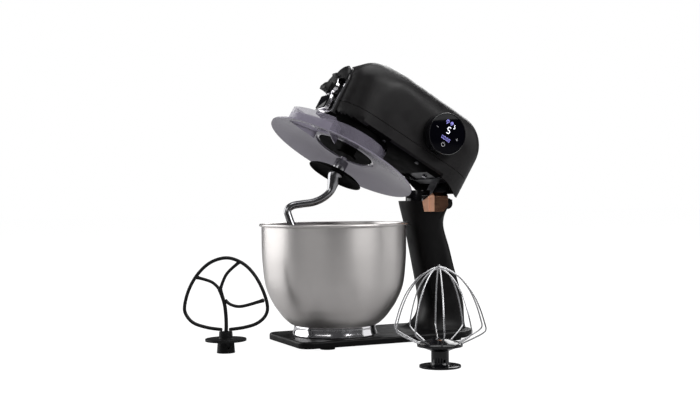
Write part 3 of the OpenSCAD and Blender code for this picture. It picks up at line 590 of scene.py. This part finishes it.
# the facets are satin, and their lighter colour is a painted highlight of the light they face
dress(button_part("button_facets", 100, FACE_START, facet_line), STAND, "button", "rose_gold",
      ("release_button",), sharp=20, bevel=0.2, material="brushed_rose_painted_highlight")

# ---------------------------------------------------------------- bowl

# the outside of the bowl's wall: radius and height, from the floor up
WALL = [(46, 27), (58, 28), (65.8, 30.5), (72.9, 36), (78.7, 42), (83.7, 48.5), (92.3, 61),
        (100.8, 79), (105.4, 97), (108.3, 127), (109, 150), (109, 178)]
SHEET = 1.2
outside = [(p.x, p.y) for p in curve([(*q, 0) for q in WALL], 72)]


def offset_line(line, d):
    """The line moved sideways by d."""
    out = []
    for i, p in enumerate(line):
        a, b = line[max(i - 1, 0)], line[min(i + 1, len(line) - 1)]
        n = math.hypot(b[0] - a[0], b[1] - a[1])
        out.append((p[0] - d * (b[1] - a[1]) / n, p[1] + d * (b[0] - a[0]) / n))
    return out


# the rolled rim: its radius, and the radius and height of its middle
ROLL_R, RIM_R, RIM_Z = 2.1, 110.4, 179.6
roll = [(RIM_R + ROLL_R * math.cos(a), RIM_Z + ROLL_R * math.sin(a))
        for a in (math.radians(k) for k in range(230, 522, 15))]
bowl_line = ([(0, WALL[0][1])] + outside + roll + offset_line(outside, SHEET)[::-1]
             + [(0, WALL[0][1] + SHEET)])
bowl = lathe("bowl_wall", bowl_line, 192)
dress(bowl, STAND, "bowl", "bowl_steel", ("bowl_shell",), sharp=50)

# ---------------------------------------------------------------- dough hook and its cup

# the middle of the hook's bar, in its own plane
HOOK = [(0, 156.9), (-0.3, 151), (-3.4, 139), (-4.6, 127), (1, 113), (11, 101), (24, 91.5),
        (35, 82.5), (38, 73), (29, 62.5), (13, 48.5), (-1, 36.5)]
HOOK_TURN = -100
HOOK_STEPS, TAPER_STEPS, TIP_STEPS = 110, 35, 6
ROOT_R, BAR_R, TIP_R = 11.4, 5.5, 5.0


def hook_radius(i):
    """The bar's radius: a tapered root, an even bar and a slightly thinner tip."""
    tip_start = HOOK_STEPS - TIP_STEPS
    if i >= tip_start:
        return BAR_R - (BAR_R - TIP_R) * (i - tip_start) / TIP_STEPS
    return ROOT_R - (ROOT_R - BAR_R) / 2 * (1 - math.cos(math.pi * min(i / TAPER_STEPS, 1)))


line = curve([(u, 0, z) for u, z in HOOK], HOOK_STEPS)
hook = tube("hook_bar", line, [hook_radius(i) for i in range(HOOK_STEPS + 1)], (0, 1, 0), 36)
dress(hook, TOOL @ Matrix.Rotation(math.radians(HOOK_TURN), 4, "Z"), "tool", "hook_steel",
      ("dough_hook",), sharp=60)

# the cup's outline, out along its top and back in along its underside
CUP = [(20, 159.6), (34, 157.2), (41.5, 153.6), (42, 152), (40.8, 152.3), (33.5, 155.6), (20, 157.6)]
cup_line = [(p.x, p.y) for p in curve([(*q, 0) for q in CUP], 30)]
cup = lathe("hook_cup", [(10, 160)] + cup_line + [(10, 158)], 96)
# the cup under the head gets the painted-shade black
dress(cup, TOOL, "tool", "matte_black", ("hook_shield",), sharp=50, material="painted_shade_black")

# ---------------------------------------------------------------- flat beater

BEATER = STAND @ Matrix.Translation((16, -178, 0)) @ Matrix.Rotation(math.radians(65.2), 4, "Z")
# the outer frame and the bars inside it, each bar with its radius, in the beater's own plane
LOOP = [(-6, 33), (-26, 36), (-46, 43), (-57, 56), (-58, 70), (-51, 93), (-38, 114), (-20, 129.5),
        (2, 135.5), (22, 129.5), (38, 116), (51, 95), (59.5, 70), (58, 54), (46, 42), (28, 36), (6, 33)]
BARS = [([(0, 24), (0.8, 36), (0.5, 52), (-1.5, 70), (-7.5, 90)], 2.7),
        ([(-7.5, 90), (-19, 101), (-40, 108)], 2.3),
        ([(-7.5, 90), (2, 112), (20, 129)], 2.3),
        ([(0.5, 74), (9, 68), (24, 66), (54, 74)], 2.3)]
BAR_STEPS = 24
THICKER = 0.35
loop = curve([(x, 0, z) for x, z in LOOP], 110)
beater = tube("beater_bars", loop, [2.5] * len(loop), (0, 1, 0), 20, flat=1.2)
arms = []
for points, r in BARS:
    path = curve([(x, 0, z) for x, z in points], BAR_STEPS)
    # each bar thickens a little where it meets the next
    radii = [r * (1 + THICKER * (abs(2 * i / BAR_STEPS - 1) ** 6)) for i in range(BAR_STEPS + 1)]
    arms.append(tube("bar", path, radii, (0, 1, 0), 20, flat=1.15))
carve(beater, arms, "UNION")
dress(beater, BEATER, "beater", "tool_black", ("flat_beater",), sharp=60)

# ---------------------------------------------------------------- whisk

WHISK = STAND @ Matrix.Translation((277, 25, 0))
# half of one wire, from the hub up to the crown
WIRE = [(26, 29), (44, 38), (56, 45), (60, 50), (58.5, 58), (52, 78), (42, 98), (27, 115),
        (11, 124.5), (0, 127)]
WIRE_COUNT, WIRE_R, WIDEST = 5, 0.95, 60
# each wire crosses over the one before at the crown
CROSSING = 2.45 / 2
half = curve([(x, 0, z) for x, z in WIRE], 44)


def whisk_wire(i):
    """One whole wire of the cage, down to the hub on both sides."""
    side = [Vector((p.x, 0, p.z + i * CROSSING * (1 - p.x / WIDEST))) for p in half]
    full = side + [Vector((-p.x, 0, p.z)) for p in side[-2::-1]]
    wire = tube("wire", full, [WIRE_R] * len(full), (0, 1, 0), 12)
    wire.data.transform(Matrix.Rotation(math.radians(180 / WIRE_COUNT * i + 12), 4, "Z"))
    return wire


wires = whisk_wire(0)
for i in range(1, WIRE_COUNT):
    one = whisk_wire(i)
    bm = bmesh.new()
    bm.from_mesh(wires.data)
    bm.from_mesh(one.data)
    bm.to_mesh(wires.data)
    bm.free()
    bpy.data.objects.remove(one)
wires.name = "whisk_cage"
dress(wires, WHISK, "whisk", "chrome", ("whisk_wires",), sharp=60, weighted=False, material="wire_steel")

# ---------------------------------------------------------------- display icons

# the bars of a seven-bar digit that are lit
DIGITS = {"0": "abcdef", "5": "acdfg"}


def stroke(points, w):
    """A flat ribbon of width w through points in the dial's own plane (towards the back, up)."""
    pts = [Vector(p) for p in points]
    left, right = [], []
    for i, p in enumerate(pts):
        d = (pts[min(i + 1, len(pts) - 1)] - pts[max(i - 1, 0)]).normalized()
        n = Vector((-d.y, d.x))
        left.append(p + n * w / 2)
        right.append(p - n * w / 2)
    return left + right[::-1]


def plates(name, outlines, material, low=79.15, high=79.32):
    """Thin raised plates of the given outlines on the display glass."""
    verts, faces = [], []
    for o in outlines:
        b, n = len(verts), len(o)
        verts += [(low, *p) for p in o] + [(high, *p) for p in o]
        faces += [tuple(range(b, b + n)), tuple(range(b + n, b + 2 * n))]
        faces += [(b + k, b + (k + 1) % n, b + n + (k + 1) % n, b + n + k) for k in range(n)]
    dress(solid(name, verts, faces), DIAL, "head", "display_black", material=material, sharp=30,
          weighted=False)


def digit(ch, at, w, h, t):
    """A digit of bars t wide, w by h in all, about the point at."""
    a, b = w / 2, h / 2
    bars = {"a": ((-a, b), (a, b)), "g": ((-a, 0), (a, 0)), "d": ((-a, -b), (a, -b)),
            "f": ((-a, b), (-a, 0)), "e": ((-a, 0), (-a, -b)), "b": ((a, b), (a, 0)),
            "c": ((a, 0), (a, -b))}
    out = []
    for bar in DIGITS[ch]:
        p, q = (Vector(v) for v in bars[bar])
        d = (q - p).normalized() * t * 0.45
        out.append([v + Vector(at) for v in stroke([p + d, q - d], t)])
    return out


def circle(at, r, a0=0, a1=360, n=24):
    """Points round a circle, or round a part of it, about the point at."""
    return [(at[0] + r * math.cos(a), at[1] + r * math.sin(a))
            for a in (math.radians(a0 + (a1 - a0) * k / n) for k in range(n + 1))]


plates("speed_digit", digit("5", (-0.6, 6.2), 5.0, 9.6, 1.15), "icon_white")
clock = []
for x in (-5.6, -1.6, 3.0, 7.0):
    clock += digit("0", (x + 0.3, -7.3), 2.3, 4.6, 0.42)
clock += [circle((1.0, -6.2), 0.32, n=10)[:-1], circle((1.0, -8.4), 0.32, n=10)[:-1]]
plates("clock_digits", clock, "icon_blue")
whisk_icon = [stroke(circle((-8.3, 17.6), 2.2, -60, 240, 20), 0.5),
              stroke([(-8.3, 15.6), (-8.3, 20)], 0.4), stroke([(-8.3, 15.4), (-8.3, 13.2)], 0.8)]
beater_icon = [stroke(circle((-0.7, 18.2), 2.2, -70, 250, 20), 0.5),
               stroke([(-0.7, 14), (-0.7, 20.2)], 0.4), stroke([(-2.6, 18.2), (1.2, 18.2)], 0.4)]
hook_icon = [stroke([(5.0, 18.8), (5.2, 16.4), (6.6, 15.2), (7.2, 13.8), (6.2, 12.6), (4.8, 13)], 0.9)]
plates("tool_icons", whisk_icon + beater_icon, "icon_blue")
plates("hook_icon", hook_icon, "icon_white")
power_mark = [stroke(circle((1.3, -17.2), 2.9, 125, 415, 24), 0.5), stroke([(1.3, -15.8), (1.3, -13.2)], 0.5)]
minus_mark = [stroke([(-21.9, 1.5), (-17.6, 1.5)], 0.4)]
plus_mark = [stroke([(16.3, 1.0), (20.5, 1.0)], 0.4), stroke([(18.4, 1.3), (18.4, 3.1)], 0.4),
             stroke([(18.4, 0.7), (18.4, -1.1)], 0.4)]
plates("touch_marks", power_mark + minus_mark + plus_mark, "icon_grey")

# ---------------------------------------------------------------- carried-over CAD nodes

SLOT_OF = {s["node"]: s["material_slot"] for s in frame["record"]["subparts"]}
# the width of a rounded edge, and a material other than the slot's own
BEVELLED = {"badge_block": 0.5, "badge_glass": 0.6, "hinge_post": 0.5, "button_guide": 0.4,
            "hub_cap": 0.5, "dial_ring": 0.5, "display_glass": 0.3, "hub_collar": 0.4,
            "hook_socket": 0.4, "bowl_foot": 0.3, "beater_hub": 0.5, "whisk_hub": 0.5,
            "gear_housing": 0.5}
# the gear housing and planet carrier under the head get the painted-shade black
LOOKS = {"gear_housing": "painted_shade_black", "planet_carrier": "painted_shade_black",
         "hub_panel": "tool_black", "hub_cap": "tool_black", "housing_screws": "dark_screw",
         "motor_frame": "dark_screw", "hinge_bracket": "dark_screw", "bracket_screws": "dark_screw"}
for name, node in NODES.items():
    if node.hide_render:
        continue
    mesh = node.data
    normals = mesh.attributes.get("custom_normal")
    if normals:
        mesh.attributes.remove(normals)
    mesh.shade_smooth()
    mesh.materials.clear()
    mesh.materials.append(MATERIALS[LOOKS.get(name, SLOT_OF[name])].material)
    m = node.modifiers.new("weld", "WELD")
    m.merge_threshold = 0.00001
    if name in BEVELLED:
        m = node.modifiers.new("edges", "BEVEL")
        m.width, m.segments, m.limit_method = BEVELLED[name] * 0.001, 2, "ANGLE"
        m.angle_limit = math.radians(35)
        m.use_clamp_overlap = True
    m = node.modifiers.new("split", "EDGE_SPLIT")
    m.split_angle = math.radians(30)

# ---------------------------------------------------------------- stage

# just under the feet, in metres
FLOOR_Z = TABLE - 0.0001
FLOOR_HALF = 12
corners = [(x * FLOOR_HALF, y * FLOOR_HALF, FLOOR_Z) for x, y in ((-1, -1), (1, -1), (1, 1), (-1, 1))]
floor = solid("floor", corners, [(0, 1, 2, 3)])
ground = finish("pale floor", (0.4, 0.4, 0.405), 0.8, tint=0.01, bump=0.02, Specular_IOR_Level=0.1)
glow, both, seen_rays, choose, shade = (ground.tree.nodes.new(k) for k in (
    "ShaderNodeEmission", "ShaderNodeAddShader", "ShaderNodeLightPath", "ShaderNodeMixShader",
    "ShaderNodeBsdfDiffuse"))
glow.inputs["Strength"].default_value = 0.99
shade.inputs["Color"].default_value = (0.12, 0.12, 0.12, 1)
ground.link(glow.outputs[0], both.inputs[0])
ground.link(shade.outputs[0], both.inputs[1])
ground.link(seen_rays.outputs["Is Camera Ray"], choose.inputs["Fac"])
ground.link(ground.shader.outputs[0], choose.inputs[1])
ground.link(both.outputs[0], choose.inputs[2])
ground.link(choose.outputs[0], ground.tree.nodes["Material Output"].inputs["Surface"])
floor.data.materials.append(ground.material)

world = bpy.data.worlds.new("studio")
SCENE.world = world
world.use_nodes = True
wt = world.node_tree
wt.nodes.clear()
out = wt.nodes.new("ShaderNodeOutputWorld")
seen, unseen, pick, rays = (wt.nodes.new(k) for k in (
    "ShaderNodeBackground", "ShaderNodeBackground", "ShaderNodeMixShader", "ShaderNodeLightPath"))
seen.inputs["Color"].default_value = (1, 1, 1, 1)
seen.inputs["Strength"].default_value = 1.0
unseen.inputs["Color"].default_value = (0.97, 0.97, 1, 1)
unseen.inputs["Strength"].default_value = 0.06
wt.links.new(rays.outputs["Is Camera Ray"], pick.inputs["Fac"])
wt.links.new(unseen.outputs[0], pick.inputs[1])
wt.links.new(seen.outputs[0], pick.inputs[2])
wt.links.new(pick.outputs[0], out.inputs["Surface"])


def softbox(name, at, towards, size, power):
    """A white area light at one point, aimed at another, in metres and watts."""
    data = bpy.data.lights.new(name, "AREA")
    data.shape, data.size, data.size_y, data.energy = "RECTANGLE", size[0], size[1], power
    lamp = bpy.data.objects.new(name, data)
    SCENE.collection.objects.link(lamp)
    lamp.location = at
    lamp.rotation_mode = "QUATERNION"
    lamp.rotation_quaternion = (Vector(towards) - Vector(at)).to_track_quat("-Z", "Y")


softbox("key", (-1.5, -1.6, 0.9), (0, 0, 0.15), (2.6, 1.7), 40)
softbox("fill", (1.15, -1.85, 1.35), (0, 0, 0.15), (1.8, 0.7), 7)
softbox("top", (0.2, 0.4, 2.6), (0, 0.05, 0.1), (2.6, 2.6), 60)
softbox("back", (-1.6, 1.6, 1.5), (0, 0.1, 0.2), (1.2, 1.2), 22)
softbox("right", (1.75, 0.95, 1.35), (0, 0, 0.1), (1.7, 0.8), 26)
softbox("rear_right", (0.5, 1.9, 0.6), (0, 0, 0.15), (1.2, 1.1), 4)

# the camera: where it stands round the mixer, above it and how it is rolled, in degrees, and the
# point it looks at and its distance from it, in metres
VIEW_ANGLES = (65.19, 0.69, -0.62)
AIM, DISTANCE = (0.01039, 0.02247, 0.18695), 1.6344
azimuth, elevation, roll_angle = (math.radians(v) for v in VIEW_ANGLES)
back = Vector((math.sin(azimuth) * math.cos(elevation), -math.cos(azimuth) * math.cos(elevation),
               math.sin(elevation)))
right = Vector((math.cos(azimuth), math.sin(azimuth), 0))
up = back.cross(right)
c, s = math.cos(roll_angle), math.sin(roll_angle)
x_axis, y_axis = right * c + up * s, up * c - right * s
camera = bpy.data.objects.new("camera", bpy.data.cameras.new("camera"))
SCENE.collection.objects.link(camera)
camera.data.lens, camera.data.sensor_width = 55.62, 36
camera.data.clip_start, camera.data.clip_end = 0.05, 60
place = Vector(AIM) + back * DISTANCE
camera.matrix_world = Matrix([[x_axis[i], y_axis[i], back[i], place[i]] for i in range(3)] + [[0, 0, 0, 1]])
SCENE.camera = camera
SCENE.view_settings.view_transform = "Standard"
